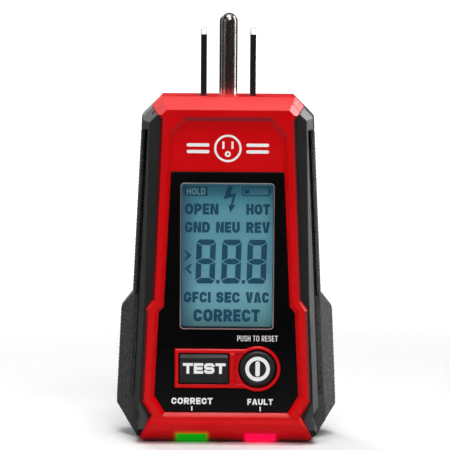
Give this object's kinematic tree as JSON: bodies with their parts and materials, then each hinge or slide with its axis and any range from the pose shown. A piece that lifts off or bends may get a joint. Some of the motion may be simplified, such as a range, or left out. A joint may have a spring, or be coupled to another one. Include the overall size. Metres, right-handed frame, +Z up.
{
  "type": "outlet tester plug",
  "caption": "Handheld outlet tester with a segment display, push buttons, indicator windows and a grounded plug on its end.",
  "frame": {"origin": "middle of the flat end that the tester stands on, halfway through its depth", "axes": "+Z up, out of the plug end along the prongs; the display and the buttons face -Y; +X is to the right of someone who looks at the display"},
  "size_m": [0.0576, 0.032, 0.1106],
  "materials": {
    "red_housing": "satin moulded ABS",
    "black_housing": "fine spark texture, moulded ABS",
    "soft_grip": "matte overmoulded thermoplastic elastomer",
    "side_rubber": "matte elastomer with a fine moulded texture",
    "faceplate_black": "satin black printed overlay",
    "window": "clear polycarbonate with a polished face",
    "lcd_glass": "teal transflective display glass",
    "backlight": "diffusing acrylic",
    "lcd_shroud": "matte black shroud",
    "zebra": "silicone strip with carbon layers",
    "button": "matte button cap",
    "switch": "moulded switch case",
    "plunger": "natural nylon",
    "dome": "stainless spring sheet",
    "correct_window": "green light pipe",
    "fault_window": "red light pipe",
    "led": "clear diode case",
    "plug_metal": "nickel-plated brass",
    "carrier": "glass-filled nylon",
    "brass_strip": "bare brass strip",
    "board": "green solder mask",
    "screw_steel": "zinc-plated steel",
    "chip": "moulded epoxy case",
    "fuse_glass": "glass tube fuse",
    "resistor": "coated ceramic resistor",
    "disc": "blue epoxy disc",
    "capacitor": "aluminium can",
    "buzzer": "black sounder case",
    "cell": "plain sleeved dry cell",
    "spring_steel": "nickel-plated spring wire",
    "foam": "black foam pad",
    "brass": "turned brass"
  },
  "bodies": {
    "tester_body": {"front_housing": "red_housing", "rear_housing": "black_housing", "left_grip": "soft_grip", "right_grip": "soft_grip", "left_side_pad": "side_rubber", "right_side_pad": "side_rubber", "faceplate": "faceplate_black", "display_window": "window", "lcd_frame": "lcd_shroud", "lcd_glass": "lcd_glass", "lcd_backlight": "backlight", "lcd_zebra_strips": "zebra", "test_switch_body": "switch", "test_switch_dome": "dome", "power_switch_body": "switch", "power_switch_dome": "dome", "correct_light_pipe": "correct_window", "fault_light_pipe": "fault_window", "correct_led": "led", "fault_led": "led", "neutral_blade": "plug_metal", "line_blade": "plug_metal", "ground_pin": "plug_metal", "prong_carrier": "carrier", "ground_strap": "brass_strip", "main_board": "board", "board_screws": "screw_steel", "microcontroller": "chip", "fuse": "fuse_glass", "test_resistor": "resistor", "surge_disc": "disc", "filter_capacitor": "capacitor", "buzzer": "buzzer", "battery_cell_left": "cell", "battery_cell_right": "cell", "battery_spring_left": "spring_steel", "battery_spring_right": "spring_steel", "battery_contact_plates": "spring_steel", "door_screw_insert": "brass", "housing_screws": "screw_steel"},
    "test_button": {"test_button": "button", "test_switch_plunger": "plunger"},
    "power_button": {"power_button": "button", "power_switch_plunger": "plunger"},
    "battery_door": {"battery_door": "black_housing", "battery_door_screw": "screw_steel", "battery_foam": "foam"}
  },
  "joints": [
    {"name": "test_button_press", "type": "slide", "parent": "tester_body", "child": "test_button", "axis": [0, 1, 0], "range_m": [0, 0.0008], "stiffness_N_per_m": 900, "deforming": ["test_switch_dome"]},
    {"name": "power_button_press", "type": "slide", "parent": "tester_body", "child": "power_button", "axis": [0, 1, 0], "range_m": [0, 0.0008], "stiffness_N_per_m": 900, "deforming": ["power_switch_dome"]},
    {"name": "battery_door_lift", "type": "slide", "parent": "tester_body", "child": "battery_door", "axis": [0, 1, 0], "range_m": [0, 0.016]}
  ]
}
